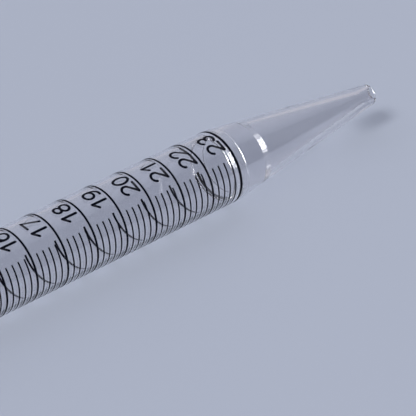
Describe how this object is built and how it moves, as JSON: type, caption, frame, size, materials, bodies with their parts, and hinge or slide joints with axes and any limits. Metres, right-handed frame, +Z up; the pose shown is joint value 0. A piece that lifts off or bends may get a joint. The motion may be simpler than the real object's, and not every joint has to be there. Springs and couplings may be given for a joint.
{
  "type": "serological pipette",
  "caption": "Clear plastic graduated serological pipette: barrel tube with a printed volume scale, welded conical tip and plugged mouthpiece.",
  "frame": {"origin": "centre of the whole length, on the surface that the barrel lies on", "axes": "+X along the pipette's axis towards the tip, +Z up, resting on its side on z = 0"},
  "size_m": [0.345, 0.015, 0.0149],
  "materials": {
    "clear_barrel": "clear extruded polystyrene, glossy, faint draw lines along its length",
    "clear_moulding": "clear injection-moulded polystyrene, glossy, soft flow lines near the welds",
    "fibre_plug": "white matted non-woven fibre",
    "scale_ink": "black screen-printed ink, satin, slightly raised",
    "code_ink": "red screen-printed colour-code ink, satin"
  },
  "bodies": {
    "root": {"barrel_tube": "clear_barrel", "conical_tip": "clear_moulding", "mouthpiece": "clear_moulding", "filter_plug": "fibre_plug"}
  },
  "joints": []
}
